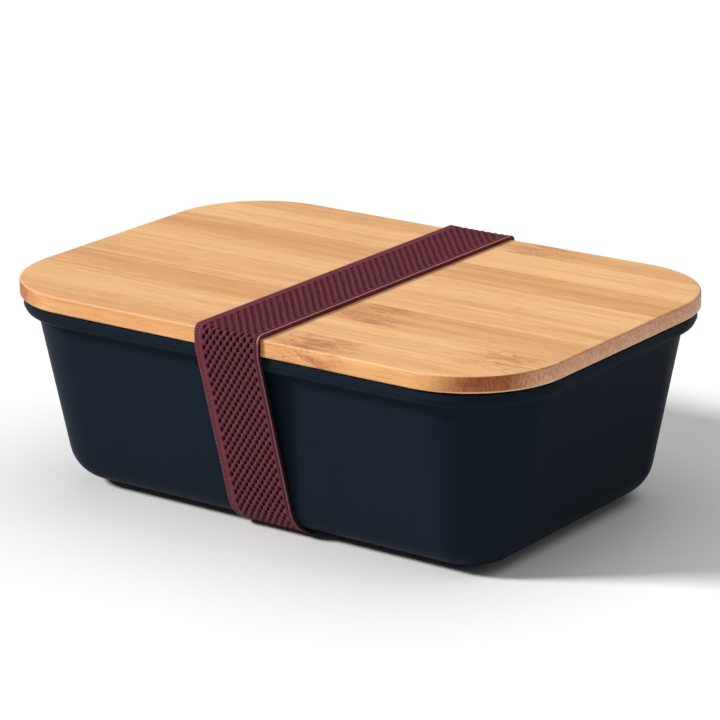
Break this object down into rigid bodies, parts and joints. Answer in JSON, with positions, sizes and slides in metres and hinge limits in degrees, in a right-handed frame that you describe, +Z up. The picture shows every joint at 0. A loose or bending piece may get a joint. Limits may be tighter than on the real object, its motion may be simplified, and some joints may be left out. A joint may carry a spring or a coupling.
{
  "type": "bento lunch box",
  "caption": "Rectangular round-cornered lunch box: tapered plastic container, flat bamboo lid with a seal, loose divider and an elastic band round the middle.",
  "frame": {"origin": "on the surface the closed box stands on, which is the underside of the elastic band, under the middle of the lid", "axes": "+X along the long side, +Z up out of the lid"},
  "size_m": [0.19, 0.1318, 0.0672],
  "materials": {
    "container": "satin",
    "divider": "satin",
    "bamboo_light": "sanded, oiled",
    "bamboo_mid": "sanded, oiled",
    "bamboo_dark": "sanded, oiled",
    "seal": "matte",
    "webbing": "woven",
    "thread": "sewing thread"
  },
  "bodies": {
    "container": {"container": "container"},
    "lid": {"bamboo_strip_1": "bamboo_mid", "bamboo_strip_2": "bamboo_light", "bamboo_strip_3": "bamboo_dark", "bamboo_strip_4": "bamboo_light", "bamboo_strip_5": "bamboo_light", "bamboo_strip_6": "bamboo_dark", "bamboo_strip_7": "bamboo_light", "bamboo_strip_8": "bamboo_mid", "lid_seal": "seal"},
    "band": {"elastic_band": "webbing", "band_stitching": "thread"},
    "divider": {"divider": "divider"}
  },
  "joints": [
    {"name": "lid_lift", "type": "slide", "parent": "container", "child": "lid", "axis": [0, 0, 1], "range_m": [0, 0.1], "deforming": ["elastic_band", "band_stitching"]},
    {"name": "band_slide", "type": "slide", "parent": "container", "child": "band", "axis": [1, 0, 0], "range_m": [-0.112, 0.112]},
    {"name": "divider_lift", "type": "slide", "parent": "container", "child": "divider", "axis": [0, 0, 1], "range_m": [0, 0.06]}
  ],
  "couplings": [
    {"joint": "divider_lift", "follows": "lid_lift", "ratio": 0.6}
  ]
}
